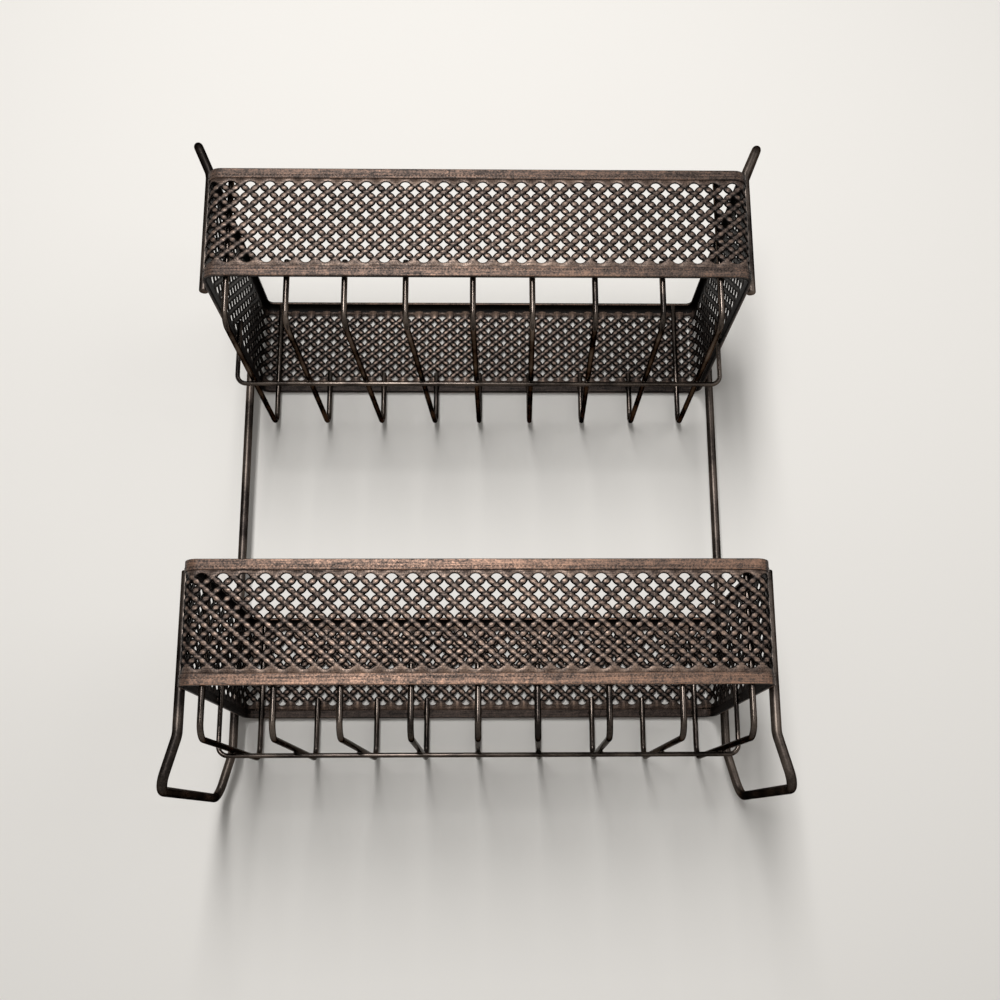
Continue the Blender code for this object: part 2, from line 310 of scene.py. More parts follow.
def wire_bronze(gauge):
    """Dark satin coat on drawn steel wire: near black, with soft rubbed patches and a streak of light."""
    name, smoothest, roughest = WIRE_COATS[gauge]
    material, tree = new_material(name)
    if tree is None:
        return material
    colours = bpy.context.scene.caddy_colours
    place = add_node(tree, "ShaderNodeTexCoord").outputs["Object"]
    patch = add_node(tree, "ShaderNodeTexNoise", {
        "Vector": place, "Scale": 1 / RUBBED_PATCH_SIZE, "Detail": 3.0,
    })
    grain = add_node(tree, "ShaderNodeTexNoise", {"Vector": place, "Scale": 1 / GRAIN_SIZE, "Detail": 2.0})
    terms = {0: grain.outputs["Fac"], 1: GRAIN_SHARE, 2: patch.outputs["Fac"]}
    both = add_node(tree, "ShaderNodeMath", terms, operation="MULTIPLY_ADD")
    ramp = add_node(tree, "ShaderNodeValToRGB", {"Fac": both.outputs[0]})
    set_stops(ramp, ((WHOLE_COAT, colours.wire), (RUBBED_COAT, colours.wire_rub)))
    rough = add_node(tree, "ShaderNodeMapRange", {
        "Value": grain.outputs["Fac"], "To Min": smoothest, "To Max": roughest,
    })
    bump = add_node(tree, "ShaderNodeBump", {
        "Height": grain.outputs["Fac"], "Strength": GRAIN_BUMP, "Distance": GRAIN_DEPTH,
    })
    shader = add_node(tree, "ShaderNodeBsdfPrincipled", {
        "Base Color": ramp.outputs["Color"],
        "Roughness": rough.outputs["Result"],
        "Metallic": 1.0,
        "Specular Tint": (*colours.wire_edge, 1),
        "Normal": bump.outputs["Normal"],
    })
    add_node(tree, "ShaderNodeOutputMaterial", {"Surface": shader.outputs["BSDF"]})
    return material


def mesh_of(bm, name):
    """Turns a bmesh into a mesh, and frees it."""
    mesh = bpy.data.meshes.new(name)
    bm.to_mesh(mesh)
    bm.free()
    return mesh


def finish_piece(name, bm, material, replaced=()):
    """Turns a bmesh into a piece of the object that rides on its one body."""
    mesh = mesh_of(bm, name)
    mesh.materials.append(material)
    mesh.shade_smooth()
    piece = bpy.data.objects.new(name, mesh)
    bpy.context.scene.collection.objects.link(piece)
    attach(piece, "root")
    if replaced:
        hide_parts(*replaced)
    return piece


def of_kind(geometry, kind):
    """The vertices, edges or faces among what an operator made."""
    return [part for part in geometry if isinstance(part, kind)]


def extrude_ring(bm, ring, move):
    """Draws an open ring of edges out along a straight run, and returns its new end."""
    made = bmesh.ops.extrude_edge_only(bm, edges=ring)["geom"]
    verts = of_kind(made, bmesh.types.BMVert)
    bmesh.ops.translate(bm, verts=verts, vec=move)
    return [edge for edge in of_kind(made, bmesh.types.BMEdge) if all(vert in verts for vert in edge.verts)]


def spin_ring(bm, ring, centre, axis, angle, steps):
    """Draws an open ring of edges round a bend, and returns its new end."""
    made = bmesh.ops.spin(
        bm, geom=ring, cent=centre, axis=axis, dvec=(0, 0, 0), angle=angle, steps=steps,
        use_merge=False, use_normal_flip=False, use_duplicate=False,
    )["geom_last"]
    return of_kind(made, bmesh.types.BMEdge)


WIRE_SIDES = 20
BEND_STEPS = 9
# how much of the shorter run beside it a bend may take up, and how round a cut end is, in diameters
BEND_RUN_SHARE = 0.48
END_ROUNDING_SHARE = 0.12


def wire(corners, radii, diameter):
    """A round wire: a circle drawn along the straight runs and spun round each bend."""
    bm = bmesh.new()
    way = (corners[1] - corners[0]).normalized()
    facing = way.to_track_quat("Z", "Y").to_matrix().to_4x4()
    bmesh.ops.create_circle(
        bm, segments=WIRE_SIDES, radius=diameter / 2, matrix=Matrix.Translation(corners[0]) @ facing
    )
    first = list(bm.edges)
    ring, here = first, corners[0]
    for place, radius in enumerate(radii, start=1):
        before, corner, after = corners[place - 1:place + 2]
        way_in, way_out = (corner - before).normalized(), (after - corner).normalized()
        turn = way_in.angle(way_out)
        slope = math.tan(turn / 2)
        shorter = min((corner - before).length, (after - corner).length)
        fitted = min(radius, BEND_RUN_SHARE * shorter / slope)
        start = corner - way_in * fitted * slope
        ring = extrude_ring(bm, ring, start - here)
        axis = way_in.cross(way_out).normalized()
        centre = start + axis.cross(way_in) * fitted
        ring = spin_ring(bm, ring, centre, axis, turn, BEND_STEPS)
        here = corner + way_out * fitted * slope
    ring = extrude_ring(bm, ring, corners[-1] - here)
    for end in (first, ring):
        bmesh.ops.contextual_create(bm, geom=end)
    bmesh.ops.bevel(
        bm, geom=first + ring, offset=diameter * END_ROUNDING_SHARE, offset_type="OFFSET", segments=2,
        profile=0.5, affect="EDGES", material=-1,
    )
    bmesh.ops.recalc_face_normals(bm, faces=bm.faces)
    return bm


def mean(values):
    """The mean of some numbers."""
    values = list(values)
    return sum(values) / len(values)


def node_points(node):
    """The vertices of a solid."""
    return [vert.co.copy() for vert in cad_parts[node].data.vertices]


# where a frame's solid is read: its posts near the middle of its height, its bars at their very ends
POST_SHARE = 0.4
BAR_SHARE = 0.25


def side_frame_corners(node, sizes, radius):
    """The corners of one frame's wire, read from its solid."""
    low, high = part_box(node)
    points = node_points(node)
    middle = (low.z + high.z) / 2
    foot_z, handle_z = low.z + radius, high.z - radius
    posts = [point for point in points if abs(point.z - middle) < POST_SHARE * middle]
    beside = mean(point.x for point in posts if point.y < 0)
    foot = mean(point.x for point in points if point.z < low.z + radius * BAR_SHARE)
    handle = mean(point.x for point in points if point.z > high.z - radius * BAR_SHARE)
    front, rear = low.y + radius, high.y - radius
    leg_top = max(point.z for point in points if point.y < 0 and point.z < middle)
    handle_end = min(point.z for point in points if point.y < 0 and point.z > middle)
    foot_bend, handle_bend = foot_z + sizes.frame_flare, handle_z - sizes.handle_flare
    return (
        Vector((beside, front, leg_top)),
        Vector((beside, front, foot_bend)),
        Vector((foot, front, foot_z)),
        Vector((foot, rear, foot_z)),
        Vector((beside, rear, foot_bend)),
        Vector((beside, rear, handle_bend)),
        Vector((handle, rear, handle_z)),
        Vector((handle, front, handle_z)),
        Vector((beside, front, handle_bend)),
        Vector((beside, front, handle_end)),
    )


class CADDY_OT_side_frames(Operator):
    """Bend both side frames from thick round wire"""

    bl_idname = "caddy.side_frames"
    bl_label = "Side frames"

    def execute(self, context):
        sizes = context.scene.caddy_sizes
        material = wire_bronze("thick")
        diameter = sizes.frame_wire
        flare, loop = sizes.flare_bend, sizes.loop_bend
        radii = (flare, loop, loop, flare, flare, loop, loop, flare)
        for side in ("left", "right"):
            node = f"side_frame_{side}"
            bm = wire(side_frame_corners(node, sizes, diameter / 2), radii, diameter)
            finish_piece(f"{side}_frame_wire", bm, material, (node,))
        return {"FINISHED"}


def rod_corners(node, radius, front_drop):
    """The corners of one rod, from front top to back top, read from its solid."""
    low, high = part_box(node)
    points = node_points(node)
    front_x = mean(point.x for point in points if point.y < low.y + 2 * radius)
    back_x = mean(point.x for point in points if point.y > high.y - 2 * radius)
    front_y, back_y = low.y + radius, high.y - radius
    bottom = low.z + radius
    return (
        Vector((front_x, front_y, high.z - front_drop)),
        Vector((front_x, front_y, bottom)),
        Vector((back_x, back_y, bottom)),
        Vector((back_x, back_y, high.z)),
    )


class CADDY_OT_rods(Operator):
    """Bend the rods that make both baskets' floors"""

    bl_idname = "caddy.rods"
    bl_label = "Rods"

    def execute(self, context):
        sizes = context.scene.caddy_sizes
        material = wire_bronze("thin")
        diameter = sizes.rod_wire
        for tier in TIERS:
            for number in range(1, ROD_COUNT + 1):
                node = f"{tier}_rod_{number}"
                front_drop = 0 if number in (1, ROD_COUNT) else sizes.front_drop
                bm = wire(rod_corners(node, diameter / 2, front_drop), (sizes.rod_bend,) * 2, diameter)
                finish_piece(f"{node}_wire", bm, material, (node,))
        return {"FINISHED"}


class CADDY_OT_cross_wires(Operator):
    """Bend the wire that runs under each basket's rods"""

    bl_idname = "caddy.cross_wires"
    bl_label = "Cross wires"

    def execute(self, context):
        sizes = context.scene.caddy_sizes
        material = wire_bronze("thin")
        diameter = sizes.cross_wire
        for tier in TIERS:
            node = f"{tier}_cross_wire"
            low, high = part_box(node)
            radius = diameter / 2
            middle = (low.y + high.y) / 2
            left, right, bottom = low.x + radius, high.x - radius, low.z + radius
            corners = (
                Vector((left, middle, high.z)),
                Vector((left, middle, bottom)),
                Vector((right, middle, bottom)),
                Vector((right, middle, high.z)),
            )
            bm = wire(corners, (sizes.cross_bend,) * 2, diameter)
            finish_piece(f"{tier}_cross_wire_round", bm, material, (node,))
        return {"FINISHED"}


def wall_box(tier):
    """The box of the four walls of one basket."""
    boxes = [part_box(f"{tier}_{side}_wall") for side in SIDES]
    low = Vector([min(box[0][axis] for box in boxes) for axis in range(3)])
    high = Vector([max(box[1][axis] for box in boxes) for axis in range(3)])
    return low, high


def basket_course(low, high, corner):
    """The way round a basket from its front's middle: the straight runs, their ways, the bends' centres."""
    half_x, half_y = (high.x - low.x) / 2 - corner, (high.y - low.y) / 2 - corner
    straights = (half_x, 2 * half_y, 2 * half_x, 2 * half_y, half_x)
    ways = ((1, 0), (0, 1), (-1, 0), (0, -1), (1, 0))
    centres = ((half_x, -half_y), (half_x, half_y), (-half_x, half_y), (-half_x, -half_y))
    return straights, ways, centres


def round_basket(run, depth, low, high, corner, perimeter):
    """The place on the basket's outline that lies a run from the front's middle, and a depth inward."""
    straights, ways, centres = basket_course(low, high, corner)
    half_x, half_y = centres[1]
    middle = Vector(((low.x + high.x) / 2, (low.y + high.y) / 2, 0))
    bend_run = (perimeter - 4 * (half_x + half_y)) / 4
    # where each straight run starts, from the middle of its side
    starts = (0, -half_y, -half_x, -half_y, -half_x)
    run %= perimeter
    for side, straight in enumerate(straights):
        way = Vector((*ways[side], 0))
        out = Vector((way.y, -way.x, 0))
        if run <= straight or side == len(centres):
            break
        run -= straight
        if run <= bend_run:
            angle = math.pi / 2 * run / bend_run
            centre = Vector((*centres[side], 0))
            heading = out * math.cos(angle) + way * math.sin(angle)
            return middle + centre + heading * (corner - depth)
        run -= bend_run
    reach = Vector((out.x * half_x, out.y * half_y, 0)) + out * (corner - depth)
    return middle + reach + way * (starts[side] + run)


def pressed_patch(bm, rub_and_shade, places, depths, rubs):
    """A patch of the sheet, shaped from a grid: rows of places, their depths and how rubbed they are."""
    rows, steps = len(places) - 1, len(places[0]) - 1
    made = bmesh.ops.create_grid(bm, x_segments=steps, y_segments=rows, size=1)["verts"]
    for vert in made:
        step, row = round((vert.co.x + 1) * steps / 2), round((vert.co.y + 1) * rows / 2)
        along, up = places[row][step]
        vert.co = (along, depths[row][step], up)
        vert[rub_and_shade] = rubs[row][step]
    return made


# a strut runs from its crossing over a crease to the pad at its middle: shares of its ridge and edge
RIDGE_SHARES = (0, 0.36, 1)
EDGE_SHARES = (0, 0.5, 1)
# how far nub, crease and pad reach from the ridge to the edge, and the dark ring before the edge
SHOULDER_REACHES = (0.42, 0.46, 0.55)
RING_REACHES = (0.64, 0.72, 0.80)
# heights as shares of the nubs' rise or of the edge's drop
RING_DROP = 0.7
CREASE_DROP = 1 / 3
PAD_SHOULDER_RISE = 0.7
INNER_RISE = 0.4
INNER_CREASE = 1 / 3
# how rubbed a strut is on its ridge, its shoulder, the ring and the inside: the unrubbed ring is dark oil
# in the recess, deepened as painted shade round each opening
NUB_RUBS = (0.85, 0.65, 0, 0.90)
PAD_RUBS = (1.0, 0.88, 0.05, 1.05)


def strut_patch(bm, rub_and_shade, sizes, pitch, creases, upright):
    """Half the width of a strut, from a crossing over a crease to the strut's middle, front to back.

    The patch lies between the strut's ridge and the opening beside the crossing, or upright, above it.
    """
    spans = [(pitch / 2, sizes.opening_width), (sizes.row_pitch / 2, sizes.opening_height)]
    if upright:
        spans.reverse()
    (half_along, opening_along), (half_beside, opening_beside) = spans
    middle = Vector((half_along / 2, half_beside / 2))
    opening = Vector((half_along, 0))
    tip = opening - Vector((opening_along / 2, 0))
    toward = (opening - middle).normalized()
    straight_side = opening + Vector((-opening_along / 4, opening_beside / 4))
    ridge = [middle * share for share in RIDGE_SHARES]
    edge = [
        tip.lerp(straight_side, share) + toward * sizes.strut_bulge * (1 - (1 - share) ** 2)
        for share in EDGE_SHARES
    ]
    shoulder = [start.lerp(end, reach) for start, end, reach in zip(ridge, edge, SHOULDER_REACHES)]
    ring = [start.lerp(end, reach) for start, end, reach in zip(ridge, edge, RING_REACHES)]
    places = [ridge, shoulder, ring, edge, edge, ridge]
    if upright:
        places = [[(beside, along) for along, beside in line] for line in places]

    rise, drop = sizes.nub_rise, sizes.edge_drop
    front, back = sizes.sheet_front, sizes.sheet_front + sizes.sheet
    nub, inner = front - rise, back + rise * INNER_RISE
    dip, inner_dip = (crease * (rise + drop * CREASE_DROP) for crease in creases)
    depths = (
        (nub, nub + dip, nub),
        (nub, nub + dip, front - rise * PAD_SHOULDER_RISE),
        (front + drop * RING_DROP,) * 3,
        (front + drop,) * 3,
        (back,) * 3,
        (inner, inner - inner_dip * INNER_CREASE, inner),
    )
    bare, inner_bare = (1 - crease for crease in creases)
    ridge_rubs, shoulder_rubs, ring_rubs, inner_rubs = (
        (on_nub, on_nub * shown, on_pad)
        for on_nub, shown, on_pad in zip(NUB_RUBS, (bare, bare, bare, inner_bare), PAD_RUBS)
    )
    rubs = (ridge_rubs, shoulder_rubs, ring_rubs, (0, 0, 0), (0, 0, 0), inner_rubs)
    return pressed_patch(bm, rub_and_shade, places, depths, rubs)


def quarter_crossing(bm, rub_and_shade, sizes, pitch, creases):
    """A quarter of a crossing: the strut that leaves it up to the right, creased outside and inside."""
    made = strut_patch(bm, rub_and_shade, sizes, pitch, creases, False)
    made += strut_patch(bm, rub_and_shade, sizes, pitch, creases, True)
    return made


# an end opening is a fan: its edge is narrower than its row's openings, and its shoulder lies round it
FAN_STEPS = 3
FAN_NARROWING = 0.92
FAN_SHOULDER = 1.28
# between the fans the shoulder ends before the tip, and climbs from the crossing to it
SHOULDER_END = 0.8
SHOULDER_LIFT = 0.40
SHOULDER_CLIMB = 0.15
# how rubbed the ledge is: by the rim, on its shoulder, on its back edge, inside, and behind the rim
LEDGE_RUBS = {"top": 0.62, "shoulder": 0.68, "back edge": 0.40, "inside": 0.75, "tucked": 0.35}


def ledge_patch(bm, rub_and_shade, sizes, pitch, ledge_top):
    """Half a pitch of the plain ledge above the top row: from a crossing to an end opening's middle."""
    half = pitch / 2
    tip = half - sizes.opening_width / 2
    fan, reach = sizes.fan_rise, (half - tip) * FAN_NARROWING
    shares = (0, SHOULDER_REACHES[0], RING_REACHES[0], 1)
    edge = [(tip * share, 0) for share in shares]
    shoulder = [
        (tip * min(share, SHOULDER_END), fan * (SHOULDER_LIFT + SHOULDER_CLIMB * share)) for share in shares
    ]
    for step in range(1, FAN_STEPS + 1):
        angle = math.pi / 2 * step / FAN_STEPS
        edge.append((half - reach * math.cos(angle), fan * math.sin(angle)))
        wide, tall = reach * FAN_SHOULDER, fan * FAN_SHOULDER
        shoulder.append((half - wide * math.cos(angle), tall * math.sin(angle)))
    top = [(along, ledge_top) for along, _ in edge]

    rise, drop = sizes.nub_rise, sizes.edge_drop
    front, back = sizes.sheet_front, sizes.sheet_front + sizes.sheet
    every = len(edge)
    front_edge = (front - rise, front - rise, front + drop * RING_DROP, *(front + drop,) * (FAN_STEPS + 1))
    back_edge = [back + rise * INNER_RISE * (1 - share) for share in shares] + [back] * FAN_STEPS
    rows = (
        (top, (front,) * every, (LEDGE_RUBS["top"],) * every),
        (shoulder, (front,) * every, (LEDGE_RUBS["shoulder"],) * every),
        (edge, front_edge, NUB_RUBS[:2] + (0,) * (every - 2)),
        (edge, back_edge, (LEDGE_RUBS["back edge"],) * every),
        (top, (back,) * every, (LEDGE_RUBS["inside"],) * every),
        (top, (front,) * every, (LEDGE_RUBS["tucked"],) * every),
    )
    made = pressed_patch(bm, rub_and_shade, *zip(*rows))
    # the struts' patches go on from the edge's straight part, so the sheet isn't closed there
    inner = [
        face for face in {face for vert in made for face in vert.link_faces}
        if all(vert.co.z == 0 for vert in face.verts)
    ]
    bmesh.ops.delete(bm, geom=inner, context="FACES_ONLY")


# what the ends' insides keep of the rubbing: painted shade on the end walls' insides, which face away from
# the light
INSIDE_END_SHADE_SHARE = 0.55


def end_shaded(sizes, share, place, low, high):
    """How rubbed a place is, with painted shade: darker by a share toward the basket's ends, where the
    light falls off, and darkest on the ends' insides.
    """
    half = (high - low) / 2
    off_x, off_y = abs(place.x - low.x - half.x), abs(place.y - low.y - half.y)
    rubbed = 1 - share * (off_x / half.x) ** 2
    on_end = half.x - off_x < half.y - off_y
    if on_end and half.x - off_x > sizes.sheet_front + sizes.sheet / 2:
        rubbed *= INSIDE_END_SHADE_SHARE
    return rubbed


def rub_bmesh():
    """An empty bmesh whose vertices will say how rubbed they are, with painted highlight and painted shade,
    and the layer that says it.
    """
    bm = bmesh.new()
    return bm, bm.verts.layers.float.new("rub_and_shade")


def add_flipped(bm, flip):
    """Adds a copy of all that a bmesh holds, turned over along each axis where flip is -1."""
    made = bmesh.ops.duplicate(bm, geom=bm.verts[:] + bm.edges[:] + bm.faces[:])["geom"]
    bmesh.ops.scale(bm, vec=flip, verts=of_kind(made, bmesh.types.BMVert))


def append_mesh(bm, mesh):
    """Adds a mesh to a bmesh, and returns its vertices there."""
    known = len(bm.verts)
    bm.from_mesh(mesh)
    bm.verts.ensure_lookup_table()
    return bm.verts[known:]


def ledge_mesh(sizes, pitch, ledge_top, name):
    """One pitch of the ledge above an end opening."""
    bm, rub_and_shade = rub_bmesh()
    ledge_patch(bm, rub_and_shade, sizes, pitch, ledge_top)
    add_flipped(bm, (-1, 1, 1))
    return mesh_of(bm, name)


# how much of a rim's height the strip reaches up behind it
TUCK_SHARE = 1 / 4


def lattice_pitch(sizes, pitch, wall_height):
    """One pitch of the strip, flat: a column of crossings, and beside it the next, half a row higher."""
    half, rub_and_shade = rub_bmesh()
    # the strap that passes over on the outside passes under on the inside
    over_under = (sizes.strap_crease, sizes.cross_crease)
    crossed = quarter_crossing(half, rub_and_shade, sizes, pitch, over_under[::-1])
    bmesh.ops.scale(half, vec=(-1, 1, 1), verts=crossed)
    quarter_crossing(half, rub_and_shade, sizes, pitch, over_under)
    half_mesh = mesh_of(half, "half_crossing")
    full = bmesh.new()
    full.from_mesh(half_mesh)
    add_flipped(full, (-1, 1, -1))
    full_mesh = mesh_of(full, "full_crossing")
    first_row, last_row = sizes.first_row, sizes.first_row + sizes.rows * sizes.row_pitch
    rim_line = sizes.rim * (1 - TUCK_SHARE)
    top_ledge = ledge_mesh(sizes, pitch, wall_height - rim_line - last_row, "top_ledge")
    bottom_ledge = ledge_mesh(sizes, pitch, first_row - rim_line, "bottom_ledge")

    # each piece with its place, and -1 where it hangs upside down
    pieces = []
    for row in range(sizes.rows):
        pieces.append((full_mesh, 0, first_row + (row + 0.5) * sizes.row_pitch, 1))
        if row:
            pieces.append((full_mesh, pitch / 2, first_row + row * sizes.row_pitch, 1))
    pieces += (
        (half_mesh, pitch / 2, first_row, 1),
        (half_mesh, pitch / 2, last_row, -1),
        (top_ledge, pitch / 2, last_row, 1),
        (bottom_ledge, pitch / 2, first_row, -1),
    )
    bm = bmesh.new()
    for mesh, along, height, upright in pieces:
        verts = append_mesh(bm, mesh)
        bmesh.ops.scale(bm, vec=(upright, 1, upright), verts=verts)
        bmesh.ops.translate(bm, vec=(along, 0, height), verts=verts)
    bmesh.ops.remove_doubles(bm, verts=bm.verts, dist=MERGE_DISTANCE)
    for mesh in (half_mesh, full_mesh, top_ledge, bottom_ledge):
        bpy.data.meshes.remove(mesh)
    return bm


def slipped(run, slip, low, high, corner, perimeter):
    """Shifts a place on the back along the strip, and takes the shift up evenly along both sides."""
    side = high.y - low.y - 2 * corner
    back_end = perimeter / 4 - side / 2
    from_back = abs(run % perimeter - perimeter / 2)
    return run + slip * min(max(1 - (from_back - back_end) / side, 0), 1)


def strip_perimeter(low, high, corner, depth):
    """How long a strip is that lies a depth behind the rims' faces."""
    straight = 2 * (high.x - low.x - 2 * corner) + 2 * (high.y - low.y - 2 * corner)
    return straight + 2 * math.pi * (corner - depth)


class CADDY_OT_lattice_strips(Operator):
    """Press the lattice strip and bend it round each basket"""

    bl_idname = "caddy.lattice_strips"
    bl_label = "Lattice strips"

    def execute(self, context):
        sizes = context.scene.caddy_sizes
        material = strip_bronze("lattice")
        # the straps that run through rise to the right on the upper basket and fall on the lower one
        tiers = (
            ("lower", sizes.lower_shift, sizes.lower_slip, sizes.lower_rub, -1),
            ("upper", sizes.upper_shift, sizes.upper_slip, sizes.upper_rub, 1),
        )
        for tier, shift, slip, rubbed, lean in tiers:
            low, high = wall_box(tier)
            perimeter = strip_perimeter(low, high, sizes.corner, sizes.sheet_front)
            pitch = perimeter / sizes.columns
            one = lattice_pitch(sizes, pitch, high.z - low.z)
            bmesh.ops.scale(one, vec=(lean, 1, 1), verts=one.verts)
            unit = mesh_of(one, "pitch")
            bm = bmesh.new()
            for column in range(sizes.columns):
                bmesh.ops.translate(bm, vec=(column * pitch, 0, 0), verts=append_mesh(bm, unit))
            bpy.data.meshes.remove(unit)
            rub_and_shade = bm.verts.layers.float["rub_and_shade"]
            for vert in bm.verts:
                run, depth, height = vert.co
                run = slipped(run + shift, slip, low, high, sizes.corner, perimeter)
                place = round_basket(run, depth, low, high, sizes.corner, perimeter)
                vert.co = place + Vector((0, 0, low.z + height))
                # painted shade: darker toward the basket's ends and on the ends' insides
                vert[rub_and_shade] *= rubbed * end_shaded(sizes, sizes.strip_end_shade, place, low, high)
            bmesh.ops.remove_doubles(bm, verts=bm.verts, dist=MERGE_DISTANCE)
            bmesh.ops.recalc_face_normals(bm, faces=bm.faces)
            nodes = [f"{tier}_{side}_wall" for side in SIDES]
            finish_piece(f"{tier}_lattice_strip", bm, material, nodes)
        return {"FINISHED"}


# how far the rims' smooth faces stop short of their edges, and small steps of their folds
FACE_MARGIN = 0.7 * MM
BAND_MARGIN = 0.6 * MM
LIP_MARGIN = 1.0 * MM
LIP_HEM, HEM_RISE = 0.8 * MM, 0.3 * MM
FOLD_SLANT = 0.02 * MM
GROOVE_SHARE = 1 / 3
# how bright a rim's free edge is painted on its face's side: a painted shade line along the top one, which
# turns into the lip, and a painted highlight line along the bottom one
FREE_EDGE_LIGHT_AND_SHADE = {"top": 0.10, "bottom": 0.80}


def rim_outline(sizes, edge):
    """A folded rim's section: depth, height above its free edge, how rubbed it is with painted highlight
    and shade, and if it is rounded.
    """
    rim = sizes.rim
    groove = sizes.sheet_front + sizes.sheet * GROOVE_SHARE
    back = sizes.sheet_front + sizes.sheet
    face = (
        (0, 0, FREE_EDGE_LIGHT_AND_SHADE[edge], True),
        (0, FACE_MARGIN, 0.72, False),
        (0, rim - FACE_MARGIN, 0.67, False),
        (0, rim, 0.70, True),
        # the groove's dark line: dark oil in the step, deepened as painted shade
        (groove, rim, 0.35, False),
    )
    inside = {
        "top": (
            (back, rim, 0.30, False),
            # the lip's underside is painted near black as painted shade, where it faces down
            (back + FOLD_SLANT, sizes.lip_fold, 0.12, False),
            (sizes.lip - LIP_HEM, sizes.lip_edge + HEM_RISE, 0.05, False),
            # a painted highlight line along the lip's lower inner edge, and painted shade along its upper
            # edge
            (sizes.lip, sizes.lip_edge, 0.90, True),
            (sizes.lip, 0, 0.10, True),
            (sizes.lip - LIP_MARGIN, 0, 0.60, False),
            (LIP_MARGIN, 0, 0.60, False),
        ),
        "bottom": (
            (back, rim, 0, False),
            (back, sizes.band, 0, False),
            (sizes.rim_thickness, sizes.band, 0.40, True),
            (sizes.rim_thickness, BAND_MARGIN, 0.45, False),
            (sizes.rim_thickness, 0, 0.20, True),
        ),
    }[edge]
    return face + inside


CORNER_STEPS = 8
# how rubbed the bottom rims are beside the top ones, and how much of the top ones' painted end shade they
# have
BOTTOM_RUB_SHARE = 0.94
BOTTOM_END_SHADE_SHARE = 0.5


def sweep_rim(sizes, low, high, free_edge, edge):
    """Draws the rim's section round the basket: straight along each side, spun round each corner."""
    bm, rub_and_shade = rub_bmesh()
    upward = {"top": -1, "bottom": 1}[edge]
    outline = rim_outline(sizes, edge)
    verts = [
        bm.verts.new((0, low.y + depth, free_edge + upward * height)) for depth, height, _, _ in outline
    ]
    corners = [(vert.co.copy(), point[2]) for vert, point in zip(verts, outline)]
    bm.faces.new(verts)
    bmesh.ops.bevel(
        bm, geom=[vert for vert, point in zip(verts, outline) if point[3]], offset=sizes.rim_round,
        offset_type="OFFSET", segments=3, profile=0.5, affect="VERTICES", material=-1,
    )
    bmesh.ops.delete(bm, geom=bm.faces[:], context="FACES_ONLY")
    for vert in bm.verts:
        vert[rub_and_shade] = min(corners, key=lambda corner: (corner[0] - vert.co).length)[1]
    ring = bm.edges[:]
    straights, ways, centres = basket_course(low, high, sizes.corner)
    for straight, way, centre in zip(straights, ways, centres):
        ring = extrude_ring(bm, ring, Vector((*way, 0)) * straight)
        ring = spin_ring(bm, ring, (*centre, 0), (0, 0, 1), math.pi / 2, CORNER_STEPS)
    extrude_ring(bm, ring, Vector((*ways[-1], 0)) * straights[-1])
    bmesh.ops.remove_doubles(bm, verts=bm.verts, dist=MERGE_DISTANCE)
    bmesh.ops.recalc_face_normals(bm, faces=bm.faces)
    return bm


# a pip's top is rubbed and brightened further as a painted highlight; its foot is painted dark as painted
# shade
PIP_TOP_RUB_AND_HIGHLIGHT, PIP_FOOT_SHADE = 1.15, 0.25
# what counts as a pip's top, as a share of its rise
PIP_TOP_SHARE = 0.9
# a pip is turned toward the place on the rim this share of a pitch ahead
PIP_AHEAD_SHARE = 0.1


def press_pips(bm, sizes, low, high, height):
    """Presses a line of small pips round a rim's face, with painted shade at their feet and rubbed tops lit
    further by a painted highlight.
    """
    rub_and_shade = bm.verts.layers.float["rub_and_shade"]
    perimeter = strip_perimeter(low, high, sizes.corner, 0)
    count = round(perimeter / sizes.pip_pitch)
    step = perimeter / count
    shape = Matrix.Diagonal((sizes.pip_length / 2, sizes.pip_height / 2, sizes.pip_rise, 1))
    up = Vector((0, 0, 1))
    for number in range(count):
        place, ahead = (
            round_basket(steps * step, 0, low, high, sizes.corner, perimeter)
            for steps in (number, number + PIP_AHEAD_SHARE)
        )
        way = (ahead - place).normalized()
        outward = way.cross(up)
        turn = Matrix((way, up, outward)).transposed().to_4x4()
        place.z = height
        pip = bmesh.ops.create_icosphere(
            bm, subdivisions=1, radius=1, matrix=Matrix.Translation(place) @ turn @ shape
        )["verts"]
        for vert in pip:
            on_top = (vert.co - place).dot(outward) > PIP_TOP_SHARE * sizes.pip_rise
            vert[rub_and_shade] = PIP_TOP_RUB_AND_HIGHLIGHT if on_top else PIP_FOOT_SHADE


class CADDY_OT_rims(Operator):
    """Fold the rims along each basket's top and bottom"""

    bl_idname = "caddy.rims"
    bl_label = "Rims"

    def execute(self, context):
        sizes = context.scene.caddy_sizes
        material = strip_bronze("rims")
        for tier, rubbed in zip(TIERS, (sizes.lower_rim_painted_light, sizes.upper_rim_painted_light)):
            low, high = wall_box(tier)
            bottom_end_shade = sizes.rim_end_shade * BOTTOM_END_SHADE_SHARE
            edges = (
                ("top", high.z, -sizes.pip_inset, 1, sizes.rim_end_shade),
                ("bottom", low.z, sizes.pip_inset, BOTTOM_RUB_SHARE, bottom_end_shade),
            )
            for edge, free_edge, inset, share, end_shade in edges:
                bm = sweep_rim(sizes, low, high, free_edge, edge)
                press_pips(bm, sizes, low, high, free_edge + inset)
                rub_and_shade = bm.verts.layers.float["rub_and_shade"]
                for vert in bm.verts:
                    # the rims' wear is scaled by each basket's painted light and by the painted end shade
                    vert[rub_and_shade] *= rubbed * share * end_shaded(sizes, end_shade, vert.co, low, high)
                piece = finish_piece(f"{tier}_{edge}_rim", bm, material)
                piece.modifiers.new("weighted normals", "WEIGHTED_NORMAL")
        return {"FINISHED"}


